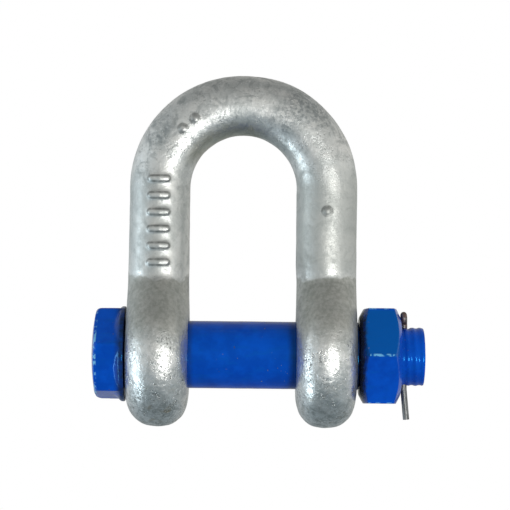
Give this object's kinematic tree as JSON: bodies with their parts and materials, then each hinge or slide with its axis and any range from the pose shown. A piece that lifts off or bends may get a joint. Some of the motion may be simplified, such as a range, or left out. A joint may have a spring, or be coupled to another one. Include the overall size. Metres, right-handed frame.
{
  "type": "dee shackle",
  "caption": "Forged galvanised dee shackle with a blue headed safety bolt through its eyes, a hexagon nut and a split pin.",
  "frame": {"origin": "on the bolt's axis, midway between the two eyes", "axes": "+X along the bolt from its head towards the nut, +Z from the bolt up to the crown, +Y completes the right-handed frame"},
  "size_m": [0.1402, 0.061, 0.1487],
  "materials": {
    "galvanised_steel": "satin",
    "blue_paint": "gloss",
    "pin_steel": "matte"
  },
  "bodies": {
    "shackle": {"shackle_body": "galvanised_steel"},
    "bolt": {"bolt": "blue_paint"},
    "nut": {"hex_nut": "blue_paint"},
    "split_pin": {"split_pin": "pin_steel"}
  },
  "joints": [
    {"name": "bolt_spin", "type": "hinge", "parent": "shackle", "child": "bolt", "pos_m": [0, 0, 0], "axis": [1, 0, 0], "continuous": true},
    {"name": "nut_turn", "type": "hinge", "parent": "bolt", "child": "nut", "pos_m": [0.05825, 0, 0], "axis": [1, 0, 0], "continuous": true},
    {"name": "pin_pull", "type": "slide", "parent": "bolt", "child": "split_pin", "axis": [0, 0, 1], "range_m": [0, 0.042]}
  ]
}
